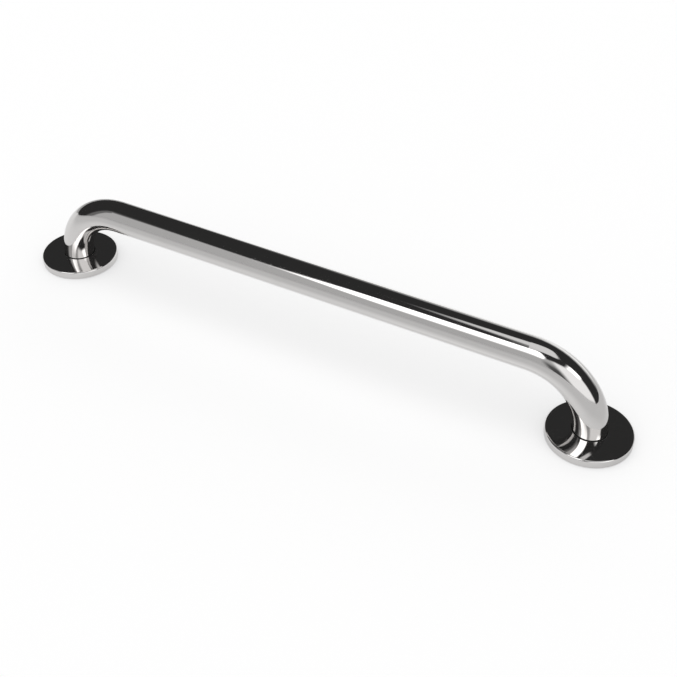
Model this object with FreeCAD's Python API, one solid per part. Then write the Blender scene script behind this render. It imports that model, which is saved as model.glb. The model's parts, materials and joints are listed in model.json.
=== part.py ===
import FreeCAD, Part
import math
import os

from FreeCAD import Vector

# Grab rail with concealed fixings. A bent tube is welded to a round plate at each foot. Each plate is screwed
# down over a rubber gasket, and a thin cover on a rubber gland slides down the tube to hide it.
# Millimetres. Z = 0 is the mounting surface and +Z points away from it. +X runs along the bar, and the origin
# is midway between the feet.

# Rail: 1 inch tube on 18 inch centres, bent at twice the tube's diameter.
FOOT_CENTRES = 457.2
TUBE_OD = 25.4
TUBE_WALL = 1.65
BEND_RADIUS = 50.8
BAR_HEIGHT = 58.0

# Rubber gasket behind each mounting plate.
GASKET_THICKNESS = 0.8
GASKET_BORE_RADIUS = 15.5
GASKET_HOLE_RADIUS = 3.2

# Mounting plate, with three countersunk holes.
PLATE_RADIUS = 28.5
PLATE_THICKNESS = 3.0
PLATE_EDGE_CHAMFER = 0.5
SCREW_CIRCLE_RADIUS = 21.0
SCREW_COUNT = 3
SCREW_HOLE_RADIUS = 2.6
COUNTERSINK_RADIUS = 4.7
WELD_LEG = 1.4

# Cover and gland. The top is slightly crowned: COVER_RIM_HEIGHT is its height over the inside of the skirt, and
# COVER_CROWN is how much higher it would be in the middle. The skirt stops just short of the mounting surface,
# so that the plate alone bears on it.
COVER_RADIUS = 31.75
COVER_RIM_HEIGHT = 6.5
COVER_CROWN = 1.2
COVER_WALL = 1.2
COVER_EDGE_RADIUS = 1.2
COVER_INNER_CORNER = 0.4
COVER_GROUND_GAP = 0.3
COVER_HOLE_RADIUS = 13.6
GLAND_TUBE_GAP = 0.3
GLAND_FLANGE_RADIUS = 16.4
GLAND_FLANGE_THICKNESS = 0.9

TUBE_RADIUS = TUBE_OD / 2
PLATE_BOTTOM = GASKET_THICKNESS
PLATE_TOP = PLATE_BOTTOM + PLATE_THICKNESS
BEND_START = BAR_HEIGHT - BEND_RADIUS
STRAIGHT_HALF = FOOT_CENTRES / 2 - BEND_RADIUS
COVER_INSIDE_RADIUS = COVER_RADIUS - COVER_WALL
COVER_PEAK = COVER_RIM_HEIGHT + COVER_CROWN
COVER_SPHERE_RADIUS = (COVER_INSIDE_RADIUS**2 + COVER_CROWN**2) / (2 * COVER_CROWN)
UP = Vector(0, 0, 1)


def ring(outer_radius, inner_radius, bottom, top):
    """Flat ring about the Z axis."""
    height = top - bottom
    outer = Part.makeCylinder(outer_radius, height, Vector(0, 0, bottom))
    return outer.cut(Part.makeCylinder(inner_radius, height, Vector(0, 0, bottom)))


def crowned_height(radius, inset):
    """Height, at this distance from the cover's axis, of the surface that lies inset below the cover's top."""
    sphere_radius = COVER_SPHERE_RADIUS - inset
    return COVER_PEAK - COVER_SPHERE_RADIUS + math.sqrt(sphere_radius**2 - radius**2)


def crowned_disc(radius, bottom, inset):
    """Solid disc about the Z axis whose top lies inset below the cover's crowned top."""
    disc = Part.makeCylinder(radius, COVER_PEAK - bottom, Vector(0, 0, bottom))
    sphere_centre = Vector(0, 0, COVER_PEAK - COVER_SPHERE_RADIUS)
    return disc.common(Part.makeSphere(COVER_SPHERE_RADIUS - inset, sphere_centre))


def circle_edges(solid, radius, height):
    """The solid's circular edges of this radius about the Z axis, at this height."""
    found = []
    for edge in solid.Edges:
        if edge.Degenerated or not isinstance(edge.Curve, Part.Circle):
            continue
        centre = edge.Curve.Center
        on_axis = math.hypot(centre.x, centre.y) < 1e-6
        if on_axis and abs(edge.Curve.Radius - radius) < 1e-6 and abs(centre.z - height) < 1e-6:
            found.append(edge)
    return found


def screw_positions():
    """Centres of the screw holes round one foot, with one hole towards the outer end of the rail."""
    step = 2 * math.pi / SCREW_COUNT
    for index in range(SCREW_COUNT):
        angle = index * step
        yield Vector(SCREW_CIRCLE_RADIUS * math.cos(angle), SCREW_CIRCLE_RADIUS * math.sin(angle), 0)


def tube_face(centre, direction):
    """Annular cross-section of the tube."""
    outer = Part.Face(Part.Wire(Part.makeCircle(TUBE_RADIUS, centre, direction)))
    inner = Part.Face(Part.Wire(Part.makeCircle(TUBE_RADIUS - TUBE_WALL, centre, direction)))
    return outer.cut(inner)


def make_rail_tube():
    """Bar, two quarter bends and two short legs, as one tube."""
    bar = tube_face(Vector(-STRAIGHT_HALF, 0, BAR_HEIGHT), Vector(1, 0, 0))
    tube = bar.extrude(Vector(2 * STRAIGHT_HALF, 0, 0))
    for side in (-1, 1):
        bend_end = Vector(side * STRAIGHT_HALF, 0, BAR_HEIGHT)
        bend_centre = Vector(side * STRAIGHT_HALF, 0, BEND_START)
        bend = tube_face(bend_end, Vector(1, 0, 0))
        tube = tube.fuse(bend.revolve(bend_centre, Vector(0, side, 0), 90))
        leg = tube_face(Vector(side * FOOT_CENTRES / 2, 0, PLATE_BOTTOM), UP)
        tube = tube.fuse(leg.extrude(Vector(0, 0, BEND_START - PLATE_BOTTOM)))
    return tube.removeSplitter()


def make_base_gasket():
    """Rubber ring behind the mounting plate, with clearance holes for the screws."""
    gasket = ring(PLATE_RADIUS, GASKET_BORE_RADIUS, 0, GASKET_THICKNESS)
    for position in screw_positions():
        gasket = gasket.cut(Part.makeCylinder(GASKET_HOLE_RADIUS, GASKET_THICKNESS, position))
    return gasket


def make_mounting_plate():
    """Plate with a bore for the tube, a weld chamfer at the back and three countersunk holes."""
    plate = ring(PLATE_RADIUS, TUBE_RADIUS, PLATE_BOTTOM, PLATE_TOP)
    plate = plate.makeChamfer(PLATE_EDGE_CHAMFER, circle_edges(plate, PLATE_RADIUS, PLATE_TOP))
    plate = plate.makeChamfer(WELD_LEG, circle_edges(plate, TUBE_RADIUS, PLATE_BOTTOM))
    countersink_depth = COUNTERSINK_RADIUS - SCREW_HOLE_RADIUS
    for position in screw_positions():
        base = position + Vector(0, 0, PLATE_BOTTOM)
        plate = plate.cut(Part.makeCylinder(SCREW_HOLE_RADIUS, PLATE_THICKNESS, base))
        cone_base = position + Vector(0, 0, PLATE_TOP - countersink_depth)
        plate = plate.cut(Part.makeCone(SCREW_HOLE_RADIUS, COUNTERSINK_RADIUS, countersink_depth, cone_base))
    return plate


def make_weld_bead():
    """Weld that fills the chamfer between the tube's end and the back of the plate."""
    corners = [
        Vector(TUBE_RADIUS, 0, PLATE_BOTTOM),
        Vector(TUBE_RADIUS + WELD_LEG, 0, PLATE_BOTTOM),
        Vector(TUBE_RADIUS, 0, PLATE_BOTTOM + WELD_LEG),
    ]
    face = Part.Face(Part.makePolygon(corners + corners[:1]))
    return face.revolve(Vector(0, 0, 0), UP, 360)


def make_cover_plate():
    """Shallow pressed cap with a crowned top, a rounded rim and a centre hole."""
    cap = crowned_disc(COVER_RADIUS, COVER_GROUND_GAP, 0)
    rim = circle_edges(cap, COVER_RADIUS, crowned_height(COVER_RADIUS, 0))
    cap = cap.makeFillet(COVER_EDGE_RADIUS, rim)
    inside = crowned_disc(COVER_INSIDE_RADIUS, 0, COVER_WALL)
    inside_rim = circle_edges(inside, COVER_INSIDE_RADIUS, crowned_height(COVER_INSIDE_RADIUS, COVER_WALL))
    inside = inside.makeFillet(COVER_INNER_CORNER, inside_rim)
    hole = Part.makeCylinder(COVER_HOLE_RADIUS, COVER_PEAK)
    return cap.cut(inside).cut(hole)


def make_cover_gland():
    """Rubber ring that lines the cover's hole and is kept in by a flange underneath."""
    flange_bottom = crowned_height(GLAND_FLANGE_RADIUS, COVER_WALL) - GLAND_FLANGE_THICKNESS
    flange = crowned_disc(GLAND_FLANGE_RADIUS, flange_bottom, COVER_WALL)
    sleeve_top = crowned_height(COVER_HOLE_RADIUS, 0)
    sleeve = Part.makeCylinder(COVER_HOLE_RADIUS, sleeve_top - flange_bottom, Vector(0, 0, flange_bottom))
    bore = Part.makeCylinder(TUBE_RADIUS + GLAND_TUBE_GAP, COVER_PEAK)
    return flange.fuse(sleeve).cut(bore).removeSplitter()


FOOT_PARTS = {
    "base_gasket": make_base_gasket,
    "mounting_plate": make_mounting_plate,
    "weld_bead": make_weld_bead,
    "cover_plate": make_cover_plate,
    "cover_gland": make_cover_gland,
}


def make_foot_part(make_part, side):
    """A foot part made about the Z axis, put at the left (-1) or right (+1) foot as mirror images."""
    part = make_part()
    if side < 0:
        part.rotate(Vector(0, 0, 0), UP, 180)
    part.translate(Vector(side * FOOT_CENTRES / 2, 0, 0))
    return part


os.makedirs("parts", exist_ok=True)
make_rail_tube().exportStep("parts/rail_tube.step")
for side, side_name in ((-1, "left"), (1, "right")):
    for part_name, make_part in FOOT_PARTS.items():
        make_foot_part(make_part, side).exportStep(f"parts/{side_name}_{part_name}.step")
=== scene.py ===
import json
import math

import bpy
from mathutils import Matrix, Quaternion, Vector


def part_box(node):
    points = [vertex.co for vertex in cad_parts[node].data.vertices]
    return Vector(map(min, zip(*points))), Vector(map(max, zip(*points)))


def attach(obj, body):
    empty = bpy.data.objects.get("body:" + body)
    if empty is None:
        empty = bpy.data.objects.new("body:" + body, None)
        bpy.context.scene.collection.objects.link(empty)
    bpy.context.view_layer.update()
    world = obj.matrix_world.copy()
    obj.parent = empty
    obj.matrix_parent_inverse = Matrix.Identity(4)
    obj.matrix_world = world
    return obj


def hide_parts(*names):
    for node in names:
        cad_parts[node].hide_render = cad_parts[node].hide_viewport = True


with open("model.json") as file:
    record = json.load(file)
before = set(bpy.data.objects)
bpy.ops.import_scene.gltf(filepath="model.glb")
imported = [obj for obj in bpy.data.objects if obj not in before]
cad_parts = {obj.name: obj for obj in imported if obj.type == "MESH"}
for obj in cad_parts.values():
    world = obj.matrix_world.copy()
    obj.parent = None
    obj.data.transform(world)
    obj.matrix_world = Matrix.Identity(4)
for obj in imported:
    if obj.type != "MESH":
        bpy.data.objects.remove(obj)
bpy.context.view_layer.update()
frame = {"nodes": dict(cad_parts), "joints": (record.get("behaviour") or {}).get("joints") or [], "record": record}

# Grab rail with concealed fixings, on a pale studio floor. Metres, in the CAD frame: Z = 0 is the mounting
# surface and +X runs along the bar. Both ends are alike, so sizes are read from the right end.

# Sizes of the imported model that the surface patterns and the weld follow.
cover_slide = next(joint for joint in frame["joints"] if joint["name"] == "right_cover_slide")
bend_centre = Vector(cover_slide["pos_m"])
screw_circle = next(mount for mount in frame["record"]["mounts"] if mount["name"] == "right_screw_circle")
cover_low, cover_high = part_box("right_cover_plate")
weld_low, weld_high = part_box("right_weld_bead")

FOOT_X = (cover_low.x + cover_high.x) / 2
COVER_RADIUS = (cover_high.x - cover_low.x) / 2
COVER_HEIGHT = cover_high.z
TUBE_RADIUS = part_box("rail_tube")[1].y
BEND_RADIUS = FOOT_X - bend_centre.x
SCREW_CIRCLE_RADIUS = screw_circle["dims"]["pcd_mm"] / 2000
SCREW_COUNT = screw_circle["dims"]["count"]
WELD_OUTER_RADIUS = (weld_high.x - weld_low.x) / 2

# Camera: it looks at a point close to the middle of the rail.
CAMERA_TARGET = Vector((0.0361, -0.0201, 0.0290))
CAMERA_DISTANCE = 0.8159
CAMERA_AZIMUTH = 28.25
CAMERA_ELEVATION = 40.11
CAMERA_ROLL = 0.14
CAMERA_LENS_MM = 57.79
SENSOR_WIDTH_MM = 36.0

# Studio. A radiance of 1 is what just reaches white on a surface that reflects all of it.
DARK_ROOM = 0.029
BACKDROP = 0.99
FLOOR_SIZE = 40.0
FLOOR_DROP = 0.0002

# Ceiling panels are seen in directions whose Z is over CEILING_LOWEST_Z. Positions on the ceiling are found
# with Z held at CEILING_CLAMP_Z or more, so that they stay finite towards the horizon.
CEILING_LOWEST_Z = 0.1
CEILING_CLAMP_Z = 0.02

# Upright panels: the lowest and highest azimuth and elevation in degrees, the softness of those four edges,
# and the radiance. Azimuth is measured from -Y towards -X, so that the panels in front of the rail are near
# 0.
WALL_PANELS = {
    "front_left_wall": ((-30, 51, -20, 44), (5, 3, 3, 3), 0.50),
    "front_left_wall_edge": ((51, 60, -20, 47), (3, 3, 3, 3), 0.16),
    "front_gap": ((-30, -3, -20, 25), (5, 4, 3, 12), 0.08),
    "right_wall": ((-82, -21, 0, 46), (4, 7, 5, 4), 1.07),
}

# Overhead panels, on a ceiling one unit up: the lowest and highest X and Y, the softness of those four
# edges, and the radiance.
CEILING_PANELS = {
    "right_softbox": ((0.76, 1.48, -0.58, -0.07), (0.12, 0.16, 0.14, 0.05), 2.2),
    "bridge": ((-0.20, 0.0, -0.50, -0.20), (0.05, 0.08, 0.05, 0.06), 0.72),
}

# Key light, on the same ceiling. Its centre line and half-width are each a number plus a slope along Y, and
# the half-width stops growing at KEY_WIDEST. Its front right corner is cut off: it fades out as
# KEY_CORNER_SLOPE times X, less Y, rises from the second KEY_CORNER number to the first.
KEY_CENTRE_X = (-0.15, 0.09)
KEY_HALF_WIDTH = (0.02, -0.42)
KEY_WIDEST = 0.39
KEY_SIDE_SOFTNESS = 0.14
KEY_Y = (-1.40, -0.50)
KEY_Y_SOFTNESS = (0.43, 0.05)
KEY_CORNER_SLOPE = 2.0
KEY_CORNER = (1.78, 1.52)
KEY_RADIANCE = 2.3

# Square softbox with round corners straight overhead, on the same ceiling and turned a little.
OVERHEAD_CENTRE = (0.065, 0.035)
OVERHEAD_TURN = math.radians(20)
OVERHEAD_HALF_WIDTH = 0.325
OVERHEAD_SOFTNESS = 0.13
OVERHEAD_RADIANCE = 0.80

# Glow behind the rail, in degrees of azimuth from +Y towards +X and of elevation. The half-widths are to the
# middle of its soft edge.
GLOW_CENTRE = (12.0, 1.5)
GLOW_HALF_WIDTHS = (28.0, 18.0)
GLOW_SOFTNESS = 0.62
GLOW_RADIANCE = 1.10

# Light on matt surfaces. It comes evenly from above, apart from a dim strip behind the rail.
MATT_LIGHT = 0.58
MATT_DIM_STRIP = ((0.45, 1.30), (0.20, 0.25), 0.15)

# Floor: how much it glows by itself where the camera sees it, and in reflections: beside the rail, in front of it
# and to the right, further out in front, behind it, and in a painted strip of light just in front of the bar's
# right half, where the bar's polish throws light. To the far left behind the rail it doesn't glow. These zones in
# reflections are painted light and shade.
FLOOR_ALBEDO = 0.85
FLOOR_GLOW_SEEN = 0.575
FLOOR_GLOW_BESIDE = 0.41
FLOOR_GLOW_FRONT = 0.21
FLOOR_GLOW_FAR = 0.08
FLOOR_GLOW_BEHIND = 0.58
FLOOR_GLOW_PAINTED_THROW = 0.50
FLOOR_GLOW_FAR_LEFT = 0.0
FLOOR_ROUGHNESS = 0.9

# Where those zones lie. A pair is where a zone begins and where it is full. Four numbers are a zone's two
# ends and the softness of each.
FLOOR_FRONT_Y = (-0.03, -0.12)
FLOOR_FAR_Y = (-0.25, -0.70)
FLOOR_RIGHT_X = (0.20, 0.34)
FLOOR_PAINTED_THROW_X = (0.055, 0.185, 0.055, 0.02)
FLOOR_PAINTED_THROW_Y = (-0.042, -0.024, 0.010, 0.007)
FLOOR_BEHIND_X = (-0.21, 0.19, 0.07, 0.07)
FLOOR_BEHIND_Y = (0.0, 1.5, 0.02, 0.5)
FLOOR_FAR_LEFT_X = (-0.20, -0.32)
FLOOR_FAR_LEFT_Y = (0.08, 0.18)

# Colours, as linear red, green and blue.
STEEL = (0.744, 0.730, 0.721)
SMUDGED_STEEL = (0.722, 0.707, 0.697)
MILL_STEEL = (0.52, 0.51, 0.50)
PLATE_STEEL = (0.56, 0.55, 0.535)
PLATE_STEEL_LIGHT = (0.62, 0.61, 0.60)
PLATE_HEAT_TINT = (0.60, 0.50, 0.34)
COUNTERSINK_STEEL = (0.70, 0.69, 0.68)
WELD_STRAW = (0.58, 0.53, 0.43)
WELD_BLUE = (0.34, 0.36, 0.42)
WELD_OXIDE = (0.30, 0.28, 0.27)

# Polished steel. Scales are in features per metre, stretches are along and across the grain, and steps are
# where a noise begins to count and where it counts in full. Smudges, specks and scratches add to
# POLISH_ROUGHNESS. The mill values are for the unpolished inside. Heights are in metres.
SMUDGE_SCALE = 34.0
SMUDGE_STEP = (0.52, 0.74)
SMUDGE_ROUGHNESS = 0.045
SPECKLE_SCALE = 900.0
SPECKLE_STEP = (0.62, 0.80)
SPECKLE_ROUGHNESS = 0.05
SCRATCH_SCALE = 150.0
SCRATCH_STRETCH = (0.12, 1.6)
SCRATCH_WIDTH = 0.0022
SLANT_SLOPE = 0.8
SLANT_SCALE = 70.0
SLANT_STRETCH = (0.10, 1.4)
SLANT_WIDTH = 0.0010
SCRATCH_ROUGHNESS = 0.10
SCRATCH_DEPTH = 4e-7
POLISH_SCALE = 220.0
POLISH_STRETCH = (14.0, 0.25)
POLISH_ROUGHNESS = 0.055
POLISH_ROUGHNESS_SWING = 0.030
POLISH_HEIGHT = 1.5e-7
WAVINESS_SCALE = 170.0
WAVINESS_HEIGHT = 1.6e-6
MILL_SCALE = 1400.0
MILL_ROUGHNESS = 0.36
MILL_ROUGHNESS_SWING = 0.12
MILL_HEIGHT = 6e-6

# Where the polish ends: how deep below the tube's surface and the cover's top and skirt, in metres. The
# cover's top falls by COVER_FALL times the square of the distance from its axis.
TUBE_DULL_DEPTHS = (0.0004, 0.0008)
COVER_TOP_DEPTH = 0.00055
COVER_TOP_SOFTNESS = 0.0001
COVER_FALL = 1.2
COVER_SKIRT_DEPTHS = (0.0007, 0.0005)

# Scuffs along the skirt's lower edge: the heights where they begin and where they are full, in metres.
SCUFF_HEIGHTS = (0.0011, 0.0003)
SCUFF_SCALE = 260.0
SCUFF_STEP = (0.42, 0.62)
SCUFF_ROUGHNESS = 0.16

# Mounting plate: a straight grain, blotches, a heat tint round the tube and rings turned into the
# countersinks.
PLATE_GRAIN_SCALE = 2600.0
PLATE_GRAIN_STRETCH = (0.035, 0.5)
PLATE_GRAIN_HEIGHT = 9e-6
PLATE_BLOTCH_SCALE = 55.0
PLATE_ROUGHNESS = 0.34
PLATE_ROUGHNESS_SWINGS = (0.12, 0.06)
TINT_OUTER_RADIUS = 0.0158
TINT_SOFTNESS = (0.0002, 0.0022)
TINT_AMOUNTS = (0.35, 0.8)
COUNTERSINK_EDGE = (0.00475, 0.00465)
COUNTERSINK_ROUGHNESS = 0.22
RING_SPACING = 0.00022
RING_ROUGHNESS = 0.04
RING_HEIGHT = 2.5e-6

# Weld. The bead is a little wider than the chamfer it fills. Its ripples are crescents that lag by WELD_LAG
# radians in the middle, and its path wanders by two slow waves: how many go round, how far and their phase.
# Part of that wander, WELD_WANDER_LIFT, also raises it.
WELD_RIPPLES = 66
WELD_STEPS_PER_RIPPLE = 8
WELD_ARC_STEPS = 12
WELD_OVERLAP = 0.0005
WELD_CROWN = 0.00034
WELD_RIPPLE_HEIGHT = 0.00007
WELD_LAG = 2.4
WELD_WANDER = ((3, 0.00006, 0.8), (7, 0.00004, 0.0))
WELD_WANDER_LIFT = 0.5
WELD_SHARP_DEGREES = 38
WELD_TOES = (0.0004, 0.0011)
WELD_OXIDE_SCALE = 700.0
WELD_OXIDE_STEP = (0.58, 0.75)
WELD_ROUGHNESS = 0.34
WELD_ROUGHNESS_SWING = 0.14
WELD_GRAIN_HEIGHT = 1.2e-5

# Rubber: each kind's colour, the colour of its bloom, its roughness and the height of its grain.
RUBBERS = {
    "gasket": ((0.018, 0.018, 0.018), (0.042, 0.042, 0.040), 0.62, 1.2e-5),
    "gland": ((0.050, 0.049, 0.048), (0.068, 0.067, 0.066), 0.50, 5e-6),
}
RUBBER_GRAIN_SCALE = 3800.0
RUBBER_BLOOM_SCALE = 120.0
RUBBER_BLOOM_STEP = (0.42, 0.72)
RUBBER_BLOOM_AMOUNTS = (0.6, 1.0)
RUBBER_ROUGHNESS_SWING = 0.10
RUBBER_BLOOM_ROUGHNESS = 0.10


class Shader:
    """Adds and links nodes in one node tree."""

    def __init__(self, tree):
        self.tree = tree
        self.tree.nodes.clear()

    def node(self, kind, **settings):
        made = self.tree.nodes.new(kind)
        for name, value in settings.items():
            setattr(made, name, value)
        return made

    def plug(self, socket, value):
        """Links an output to a socket, or sets the socket to a plain value."""
        if isinstance(value, bpy.types.NodeSocket):
            self.tree.links.new(value, socket)
        else:
            socket.default_value = value

    def math(self, operation, *inputs):
        made = self.node("ShaderNodeMath", operation=operation)
        for socket, value in zip(made.inputs, inputs):
            self.plug(socket, value)
        return made.outputs[0]

    def total(self, *values):
        result = values[0]
        for value in values[1:]:
            result = self.math("ADD", result, value)
        return result

    def length(self, a, b):
        return self.math("SQRT", self.math("ADD", self.math("MULTIPLY", a, a), self.math("MULTIPLY", b, b)))

    def split(self, vector):
        made = self.node("ShaderNodeSeparateXYZ")
        self.plug(made.inputs[0], vector)
        return made.outputs

    def join(self, x, y, z):
        made = self.node("ShaderNodeCombineXYZ")
        for socket, value in zip(made.inputs, (x, y, z)):
            self.plug(socket, value)
        return made.outputs[0]

    def scaled(self, value, factor):
        return self.math("MULTIPLY", value, factor)

    def stretched(self, along, across, third, factors):
        """Vector with its first two parts scaled by a pair of factors."""
        return self.join(self.scaled(along, factors[0]), self.scaled(across, factors[1]), third)

    def smooth_step(self, value, low, high):
        """0 below low, 1 above high, and smooth between. low may be the larger, which turns it round."""
        made = self.node("ShaderNodeMapRange", interpolation_type="SMOOTHSTEP")
        if low <= high:
            ends = (low, high, 0.0, 1.0)
        else:
            ends = (high, low, 1.0, 0.0)
        for socket, number in zip(made.inputs, (value,) + ends):
            self.plug(socket, number)
        return made.outputs[0]

    def band(self, value, low, high, low_soft, high_soft):
        """1 from low to high, falling smoothly to 0 over the soft width at each end."""
        rise = self.smooth_step(value, low - low_soft, low + low_soft)
        fall = self.smooth_step(value, high + high_soft, high - high_soft)
        return self.math("MULTIPLY", rise, fall)

    def over(self, below, above, mask):
        """above laid over below where the mask is 1. All three are plain numbers or outputs."""
        made = self.node("ShaderNodeMix", data_type="FLOAT")
        self.plug(made.inputs[0], mask)
        self.plug(made.inputs[2], below)
        self.plug(made.inputs[3], above)
        return made.outputs[0]

    def over_colour(self, below, above, mask):
        made = self.node("ShaderNodeMix", data_type="RGBA")
        self.plug(made.inputs[0], mask)
        for socket, colour in ((made.inputs[6], below), (made.inputs[7], above)):
            self.plug(socket, colour if isinstance(colour, bpy.types.NodeSocket) else (*colour, 1))
        return made.outputs[2]

    def noise(self, vector, scale=1.0, detail=2.0, roughness=0.5):
        """Fractal noise between 0 and 1, around 0.5. The scale is features per unit of the vector."""
        made = self.node("ShaderNodeTexNoise")
        values = {"Vector": vector, "Scale": scale, "Detail": detail, "Roughness": roughness}
        for name, value in values.items():
            self.plug(made.inputs[name], value)
        return made.outputs[0]

    def swing(self, value, amount):
        """Noise turned into a number between about -amount and +amount."""
        return self.math("MULTIPLY_ADD", value, 2 * amount, -amount)

    def hairlines(self, vector, scale, width):
        """1 on thin wandering lines and 0 between them: the contour of a noise at its middle value."""
        level = self.math("ABSOLUTE", self.math("SUBTRACT", self.noise(vector, scale, 1.0), 0.5))
        return self.smooth_step(level, width, width * 0.3)

    def bump(self, height):
        """Normal for a height in metres."""
        made = self.node("ShaderNodeBump")
        made.inputs["Strength"].default_value = 1.0
        made.inputs["Distance"].default_value = 1.0
        self.plug(made.inputs["Height"], height)
        return made.outputs[0]

    def principled(self, **values):
        """Principled surface. Names are the socket names with _ for a space."""
        shader = self.node("ShaderNodeBsdfPrincipled")
        for name, value in values.items():
            self.plug(shader.inputs[name.replace("_", " ")], value)
        self.plug(self.node("ShaderNodeOutputMaterial").inputs["Surface"], shader.outputs[0])
        return shader


def make_world():
    """Soft studio: a dark room with softboxes that only reflections see. Matt surfaces get the matt light,
    and the camera sees a plain pale backdrop."""
    world = bpy.data.worlds.new("studio")
    bpy.context.scene.world = world
    world.use_nodes = True
    s = Shader(world.node_tree)
    x, y, z = s.split(s.node("ShaderNodeTexCoord").outputs["Generated"])
    azimuth_behind = s.math("DEGREES", s.math("ARCTAN2", x, y))
    azimuth_front = s.math("DEGREES", s.math("ARCTAN2", s.scaled(x, -1.0), s.scaled(y, -1.0)))
    elevation = s.math("DEGREES", s.math("ARCSINE", z))
    height = s.math("MAXIMUM", z, CEILING_CLAMP_Z)
    ceiling_x = s.math("DIVIDE", x, height)
    ceiling_y = s.math("DIVIDE", y, height)
    upward = s.math("GREATER_THAN", z, CEILING_LOWEST_Z)

    glow_distance = s.length(
        s.math("DIVIDE", s.math("SUBTRACT", azimuth_behind, GLOW_CENTRE[0]), GLOW_HALF_WIDTHS[0]),
        s.math("DIVIDE", s.math("SUBTRACT", elevation, GLOW_CENTRE[1]), GLOW_HALF_WIDTHS[1]),
    )
    glow = s.smooth_step(glow_distance, 1 + GLOW_SOFTNESS, 1 - GLOW_SOFTNESS)
    radiance = s.over(DARK_ROOM, GLOW_RADIANCE, glow)

    overhead_x = s.math("SUBTRACT", ceiling_x, OVERHEAD_CENTRE[0])
    overhead_y = s.math("SUBTRACT", ceiling_y, OVERHEAD_CENTRE[1])
    cosine, sine = math.cos(OVERHEAD_TURN), math.sin(OVERHEAD_TURN)
    turned_x = s.math("ADD", s.scaled(overhead_x, cosine), s.scaled(overhead_y, sine))
    turned_y = s.math("SUBTRACT", s.scaled(overhead_y, cosine), s.scaled(overhead_x, sine))
    squared = s.length(s.math("MULTIPLY", turned_x, turned_x), s.math("MULTIPLY", turned_y, turned_y))
    overhead_distance = s.scaled(s.math("SQRT", squared), 1 / OVERHEAD_HALF_WIDTH)
    overhead = s.smooth_step(overhead_distance, 1 + OVERHEAD_SOFTNESS, 1 - OVERHEAD_SOFTNESS)
    radiance = s.over(radiance, OVERHEAD_RADIANCE, s.math("MULTIPLY", overhead, upward))

    for panels, across, along, seen in (
        (WALL_PANELS, azimuth_front, elevation, 1.0),
        (CEILING_PANELS, ceiling_x, ceiling_y, upward),
    ):
        for (left, right, low, high), soft, panel_radiance in panels.values():
            mask = s.math(
                "MULTIPLY",
                s.band(across, left, right, soft[0], soft[1]),
                s.band(along, low, high, soft[2], soft[3]),
            )
            radiance = s.over(radiance, panel_radiance, s.math("MULTIPLY", mask, seen))
    key_centre = s.math("MULTIPLY_ADD", ceiling_y, KEY_CENTRE_X[1], KEY_CENTRE_X[0])
    key_half = s.math("MULTIPLY_ADD", ceiling_y, KEY_HALF_WIDTH[1], KEY_HALF_WIDTH[0])
    key_half = s.math("MAXIMUM", s.math("MINIMUM", key_half, KEY_WIDEST), KEY_HALF_WIDTH[0])
    key_across = s.math("DIVIDE", s.math("SUBTRACT", ceiling_x, key_centre), key_half)
    key = s.math(
        "MULTIPLY",
        s.band(key_across, -1.0, 1.0, KEY_SIDE_SOFTNESS, KEY_SIDE_SOFTNESS),
        s.band(ceiling_y, *KEY_Y, *KEY_Y_SOFTNESS),
    )
    key_corner = s.math("SUBTRACT", s.scaled(ceiling_x, KEY_CORNER_SLOPE), ceiling_y)
    key = s.math("MULTIPLY", key, s.smooth_step(key_corner, *KEY_CORNER))
    radiance = s.over(radiance, KEY_RADIANCE, s.math("MULTIPLY", key, upward))

    strip, strip_softness, strip_radiance = MATT_DIM_STRIP
    matt = s.over(MATT_LIGHT, strip_radiance, s.band(ceiling_y, *strip, *strip_softness))
    light_path = s.node("ShaderNodeLightPath").outputs
    radiance = s.over(matt, radiance, light_path["Is Glossy Ray"])
    background = s.node("ShaderNodeBackground")
    background.inputs["Color"].default_value = (1, 1, 1, 1)
    s.plug(background.inputs["Strength"], s.over(radiance, BACKDROP, light_path["Is Camera Ray"]))
    s.plug(s.node("ShaderNodeOutputWorld").inputs["Surface"], background.outputs[0])


def new_shader(name):
    material = bpy.data.materials.new(name)
    material.use_nodes = True
    return material, Shader(material.node_tree)


def object_coordinates(s):
    return s.node("ShaderNodeTexCoord").outputs["Object"]


def floor_material():
    """Pale matt floor, partly self-lit. In reflections it is brightest behind the rail."""
    material, s = new_shader("studio_floor")
    x, y = s.split(object_coordinates(s))[:2]
    # Painted light and shade seen in reflections: the floor's glow changes zone by zone around the rail.
    glow = s.over(FLOOR_GLOW_BESIDE, FLOOR_GLOW_FRONT, s.smooth_step(y, *FLOOR_FRONT_Y))
    glow = s.over(glow, FLOOR_GLOW_FAR, s.smooth_step(y, *FLOOR_FAR_Y))
    glow = s.over(glow, FLOOR_GLOW_FRONT, s.smooth_step(x, *FLOOR_RIGHT_X))
    # Painted strip of light, seen in reflections, where the bar's polish throws light onto the floor.
    painted_throw = s.math("MULTIPLY", s.band(x, *FLOOR_PAINTED_THROW_X), s.band(y, *FLOOR_PAINTED_THROW_Y))
    glow = s.over(glow, FLOOR_GLOW_PAINTED_THROW, painted_throw)
    behind = s.math("MULTIPLY", s.band(x, *FLOOR_BEHIND_X), s.band(y, *FLOOR_BEHIND_Y))
    glow = s.over(glow, FLOOR_GLOW_BEHIND, behind)
    far_left = s.math("MULTIPLY", s.smooth_step(x, *FLOOR_FAR_LEFT_X), s.smooth_step(y, *FLOOR_FAR_LEFT_Y))
    glow = s.over(glow, FLOOR_GLOW_FAR_LEFT, far_left)
    glow = s.over(FLOOR_GLOW_SEEN, glow, s.node("ShaderNodeLightPath").outputs["Is Glossy Ray"])
    shader = s.principled(Roughness=FLOOR_ROUGHNESS, Emission_Strength=glow)
    shader.inputs["Base Color"].default_value = (FLOOR_ALBEDO, FLOOR_ALBEDO, FLOOR_ALBEDO, 1)
    shader.inputs["Specular IOR Level"].default_value = 0.0
    shader.inputs["Emission Color"].default_value = (1, 1, 1, 1)
    return material


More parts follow.
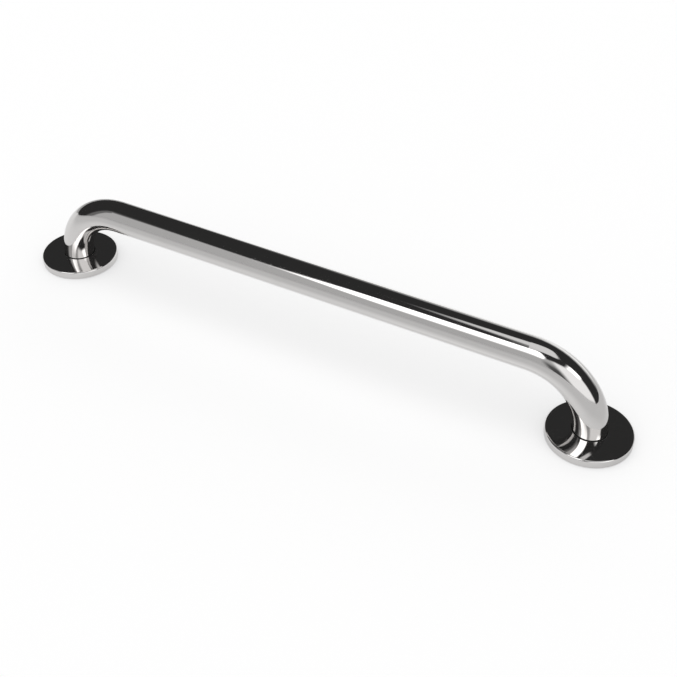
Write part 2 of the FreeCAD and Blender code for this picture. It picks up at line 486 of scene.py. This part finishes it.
def tube_coordinates(s):
    """Signed distance along the tube's centreline, the direction round it as a unit pair, and the distance
    from it. One formula serves the bar, the bends and the legs."""
    x, y, z = s.split(object_coordinates(s))
    outward = s.math("MAXIMUM", s.math("SUBTRACT", s.math("ABSOLUTE", x), bend_centre.x), 0.0)
    above = s.math("MAXIMUM", s.math("SUBTRACT", z, bend_centre.z), 0.0)
    below = s.math("MAXIMUM", s.math("SUBTRACT", bend_centre.z, z), 0.0)
    in_bar = s.math("MINIMUM", s.math("ABSOLUTE", x), bend_centre.x)
    in_bend = s.scaled(s.math("ARCTAN2", outward, above), BEND_RADIUS)
    along = s.math("MULTIPLY", s.total(in_bar, in_bend, below), s.math("SIGN", x))
    across = s.math("SUBTRACT", s.length(outward, above), BEND_RADIUS)
    distance = s.length(across, y)
    return along, s.math("DIVIDE", across, distance), s.math("DIVIDE", y, distance), distance


def foot_coordinates(s):
    """Distance from the foot's axis, the direction round it as a unit pair, and the height."""
    x, y, z = s.split(object_coordinates(s))
    across = s.math("SUBTRACT", s.math("ABSOLUTE", x), FOOT_X)
    radius = s.length(across, y)
    safe = s.math("MAXIMUM", radius, 0.001)
    return radius, s.math("DIVIDE", across, safe), s.math("DIVIDE", y, safe), z


def polished_steel(s, grain, hidden, edge_scuff=0.0):
    """Mirror polish over one fine grain direction, with faint smudges, hairline scratches and a slight
    waviness. hidden is 1 on the unpolished inside."""
    place = object_coordinates(s)
    smudge = s.smooth_step(s.noise(place, SMUDGE_SCALE, 4.0, 0.6), *SMUDGE_STEP)
    speckle = s.smooth_step(s.noise(place, SPECKLE_SCALE, 2.0), *SPECKLE_STEP)
    # Two families of nearly straight scratches: one along the grain, and a rarer one that crosses it at a
    # slant.
    slant = s.math("ADD", grain[0], s.scaled(grain[1], SLANT_SLOPE))
    cross = s.math("SUBTRACT", grain[1], s.scaled(grain[0], SLANT_SLOPE))
    scratches = s.math(
        "MAXIMUM",
        s.hairlines(s.stretched(grain[0], grain[1], grain[2], SCRATCH_STRETCH), SCRATCH_SCALE, SCRATCH_WIDTH),
        s.hairlines(s.stretched(slant, cross, grain[2], SLANT_STRETCH), SLANT_SCALE, SLANT_WIDTH),
    )
    lines = s.noise(s.stretched(grain[0], grain[1], grain[2], POLISH_STRETCH), POLISH_SCALE, 3.0, 0.6)
    roughness = s.total(
        POLISH_ROUGHNESS,
        s.swing(lines, POLISH_ROUGHNESS_SWING),
        s.scaled(smudge, SMUDGE_ROUGHNESS),
        s.scaled(s.math("MULTIPLY", smudge, speckle), SPECKLE_ROUGHNESS),
        s.scaled(scratches, SCRATCH_ROUGHNESS),
        edge_scuff,
    )
    mill = s.noise(place, MILL_SCALE, 4.0, 0.7)
    mill_roughness = s.math("ADD", MILL_ROUGHNESS, s.swing(mill, MILL_ROUGHNESS_SWING))
    roughness = s.over(roughness, mill_roughness, hidden)
    waviness = s.scaled(s.noise(place, WAVINESS_SCALE, 1.0), WAVINESS_HEIGHT)
    height = s.total(waviness, s.scaled(lines, POLISH_HEIGHT), s.scaled(scratches, -SCRATCH_DEPTH))
    height = s.over(height, s.scaled(mill, MILL_HEIGHT), hidden)
    colour = s.over_colour(STEEL, SMUDGED_STEEL, smudge)
    colour = s.over_colour(colour, MILL_STEEL, hidden)
    s.principled(Metallic=1.0, Base_Color=colour, Roughness=roughness, Normal=s.bump(height))


def tube_material():
    """Polished round the tube, and left dull in the bore."""
    material, s = new_shader("polished_tube")
    along, across, sideways, distance = tube_coordinates(s)
    dull_high, dull_low = (TUBE_RADIUS - depth for depth in TUBE_DULL_DEPTHS)
    hidden = s.smooth_step(distance, dull_high, dull_low)
    girth = (s.scaled(across, TUBE_RADIUS), s.scaled(sideways, TUBE_RADIUS))
    polished_steel(s, (along, *girth), hidden)
    return material


def cover_material():
    """Spun and polished in rings, dull underneath, and lightly scuffed along the skirt's lower edge."""
    material, s = new_shader("polished_cover")
    radius, across, sideways, height = foot_coordinates(s)
    profile = s.math("SUBTRACT", radius, height)
    fall = s.scaled(s.math("MULTIPLY", radius, radius), COVER_FALL)
    crown = s.math("SUBTRACT", COVER_HEIGHT - COVER_TOP_DEPTH, fall)
    on_top = s.smooth_step(s.math("SUBTRACT", height, crown), -COVER_TOP_SOFTNESS, COVER_TOP_SOFTNESS)
    skirt_low, skirt_high = (COVER_RADIUS - depth for depth in COVER_SKIRT_DEPTHS)
    on_skirt = s.smooth_step(radius, skirt_low, skirt_high)
    hidden = s.math("SUBTRACT", 1.0, s.math("MAXIMUM", on_top, on_skirt))
    patches = s.smooth_step(s.noise(object_coordinates(s), SCUFF_SCALE, 3.0), *SCUFF_STEP)
    scuff = s.scaled(s.math("MULTIPLY", s.smooth_step(height, *SCUFF_HEIGHTS), patches), SCUFF_ROUGHNESS)
    girth = (s.scaled(across, COVER_RADIUS), s.scaled(sideways, COVER_RADIUS))
    polished_steel(s, (profile, *girth), hidden, scuff)
    return material


def plate_material():
    """Straight-grained plate with turned countersinks and a little heat tint round the tube."""
    material, s = new_shader("linished_plate")
    place = object_coordinates(s)
    x, y, z = s.split(place)
    radius, across, sideways = foot_coordinates(s)[:3]
    streaks = s.join(s.scaled(x, PLATE_GRAIN_STRETCH[0]), y, s.scaled(z, PLATE_GRAIN_STRETCH[1]))
    grain = s.noise(streaks, PLATE_GRAIN_SCALE, 4.0, 0.65)
    blotch = s.noise(place, PLATE_BLOTCH_SCALE, 3.0)
    # Turn the pattern so that every screw hole lies over the first one.
    step = 2 * math.pi / SCREW_COUNT
    angle = s.math("WRAP", s.math("ARCTAN2", sideways, across), step / 2, -step / 2)
    hole_x = s.math("SUBTRACT", s.math("MULTIPLY", radius, s.math("COSINE", angle)), SCREW_CIRCLE_RADIUS)
    hole_y = s.math("MULTIPLY", radius, s.math("SINE", angle))
    hole_distance = s.length(hole_x, hole_y)
    countersink = s.smooth_step(hole_distance, *COUNTERSINK_EDGE)
    rings = s.math("SINE", s.scaled(hole_distance, 2 * math.pi / RING_SPACING))
    near_tube = s.band(radius, TUBE_RADIUS, TINT_OUTER_RADIUS, *TINT_SOFTNESS)
    tint = s.scaled(near_tube, s.over(*TINT_AMOUNTS, blotch))
    colour = s.over_colour(PLATE_STEEL, PLATE_STEEL_LIGHT, grain)
    colour = s.over_colour(colour, PLATE_HEAT_TINT, tint)
    colour = s.over_colour(colour, COUNTERSINK_STEEL, countersink)
    grain_swing, blotch_swing = PLATE_ROUGHNESS_SWINGS
    flat_roughness = s.total(PLATE_ROUGHNESS, s.swing(grain, grain_swing), s.swing(blotch, blotch_swing))
    turned_roughness = s.math("ADD", COUNTERSINK_ROUGHNESS, s.scaled(rings, RING_ROUGHNESS))
    roughness = s.over(flat_roughness, turned_roughness, countersink)
    relief = s.over(s.scaled(grain, PLATE_GRAIN_HEIGHT), s.scaled(rings, RING_HEIGHT), countersink)
    s.principled(Metallic=1.0, Base_Color=colour, Roughness=roughness, Normal=s.bump(relief))
    return material


def weld_material():
    """Brushed weld metal: straw tint on the bead, turning blue and grey at its toes."""
    material, s = new_shader("weld_metal")
    place = object_coordinates(s)
    radius = foot_coordinates(s)[0]
    middle = (TUBE_RADIUS + WELD_OUTER_RADIUS) / 2
    off_centre = s.math("ABSOLUTE", s.math("SUBTRACT", radius, middle))
    toes = s.smooth_step(off_centre, *WELD_TOES)
    oxide = s.noise(place, WELD_OXIDE_SCALE, 4.0, 0.65)
    colour = s.over_colour(WELD_STRAW, WELD_BLUE, toes)
    colour = s.over_colour(colour, WELD_OXIDE, s.smooth_step(oxide, *WELD_OXIDE_STEP))
    roughness = s.total(WELD_ROUGHNESS, s.swing(oxide, WELD_ROUGHNESS_SWING))
    relief = s.scaled(oxide, WELD_GRAIN_HEIGHT)
    s.principled(Metallic=1.0, Base_Color=colour, Roughness=roughness, Normal=s.bump(relief))
    return material


def rubber_material(name, colour, bloom, roughness, grain_height):
    """Moulded black rubber: fine grain, and a greyish bloom in patches."""
    material, s = new_shader(name)
    place = object_coordinates(s)
    grain = s.noise(place, RUBBER_GRAIN_SCALE, 3.0, 0.6)
    patches = s.smooth_step(s.noise(place, RUBBER_BLOOM_SCALE, 4.0, 0.6), *RUBBER_BLOOM_STEP)
    amount = s.over(*RUBBER_BLOOM_AMOUNTS, grain)
    mixed = s.over_colour(colour, bloom, s.math("MULTIPLY", patches, amount))
    rough = s.total(
        roughness,
        s.swing(grain, RUBBER_ROUGHNESS_SWING),
        s.scaled(patches, RUBBER_BLOOM_ROUGHNESS),
    )
    s.principled(Base_Color=mixed, Roughness=rough, Normal=s.bump(s.scaled(grain, grain_height)))
    return material


def make_weld(side_name, sign):
    """Rippled weld bead that stands for the plain ring in the chamfer at the back of the plate."""
    inner = TUBE_RADIUS - WELD_OVERLAP
    outer = WELD_OUTER_RADIUS + WELD_OVERLAP
    back = weld_low.z
    around_steps = WELD_RIPPLES * WELD_STEPS_PER_RIPPLE
    vertices = []
    for around in range(around_steps):
        angle = 2 * math.pi * around / around_steps
        wander = sum(reach * math.sin(waves * angle + phase) for waves, reach, phase in WELD_WANDER)
        profile = []
        for step in range(WELD_ARC_STEPS + 1):
            share = step / WELD_ARC_STEPS
            bulge = math.sin(math.pi * share)
            crescent = WELD_RIPPLES * angle - WELD_LAG * bulge
            ripple = WELD_CROWN + WELD_RIPPLE_HEIGHT * math.cos(crescent)
            depth = bulge * ripple + bulge * WELD_WANDER_LIFT * abs(wander)
            profile.append((inner + (outer - inner) * share + bulge * wander, back - depth))
        profile += [(WELD_OUTER_RADIUS, back), (TUBE_RADIUS, weld_high.z), (TUBE_RADIUS, back)]
        for radius, height in profile:
            vertices.append((sign * FOOT_X + radius * math.cos(angle), radius * math.sin(angle), height))
    count = len(profile)
    faces = []
    for around in range(around_steps):
        here, there = around * count, (around + 1) % around_steps * count
        for step in range(count):
            after = (step + 1) % count
            faces.append((here + step, there + step, there + after, here + after))
    mesh = bpy.data.meshes.new(f"{side_name}_weld_ripples")
    mesh.from_pydata(vertices, [], faces)
    mesh.validate()
    mesh.shade_smooth()
    mesh.set_sharp_from_angle(angle=math.radians(WELD_SHARP_DEGREES))
    weld = bpy.data.objects.new(f"{side_name}_weld_ripples", mesh)
    bpy.context.scene.collection.objects.link(weld)
    weld.data.materials.append(materials["weld"])
    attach(weld, "rail")
    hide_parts(f"{side_name}_weld_bead")


def make_floor():
    bpy.ops.mesh.primitive_plane_add(size=FLOOR_SIZE, location=(0, 0, -FLOOR_DROP))
    floor = bpy.context.object
    floor.name = "studio_floor"
    floor.data.materials.append(floor_material())


def make_camera():
    data = bpy.data.cameras.new("camera")
    data.lens = CAMERA_LENS_MM
    data.sensor_width = SENSOR_WIDTH_MM
    camera = bpy.data.objects.new("camera", data)
    bpy.context.scene.collection.objects.link(camera)
    azimuth = math.radians(CAMERA_AZIMUTH)
    elevation = math.radians(CAMERA_ELEVATION)
    aim = Vector((
        -math.cos(elevation) * math.sin(azimuth),
        math.cos(elevation) * math.cos(azimuth),
        -math.sin(elevation),
    ))
    roll = Quaternion((0, 0, 1), math.radians(CAMERA_ROLL))
    camera.rotation_mode = "QUATERNION"
    camera.rotation_quaternion = aim.to_track_quat("-Z", "Y") @ roll
    camera.location = CAMERA_TARGET - CAMERA_DISTANCE * aim
    bpy.context.scene.camera = camera


materials = {
    "tube": tube_material(),
    "cover": cover_material(),
    "plate": plate_material(),
    "weld": weld_material(),
    "gasket": rubber_material("gasket_rubber", *RUBBERS["gasket"]),
    "gland": rubber_material("gland_rubber", *RUBBERS["gland"]),
}
slots = {row["node"]: row["material_slot"] for row in frame["record"]["subparts"]}
for name, node in frame["nodes"].items():
    node.material_slots[0].material = materials[slots[name]]
for side_name, sign in (("left", -1), ("right", 1)):
    make_weld(side_name, sign)

scene = bpy.context.scene
scene.view_settings.view_transform = "Standard"
# The floor near the rail shows the rail's soft shadow only, without bright patches thrown off its polish.
scene.cycles.caustics_reflective = False
make_camera()
make_world()
make_floor()
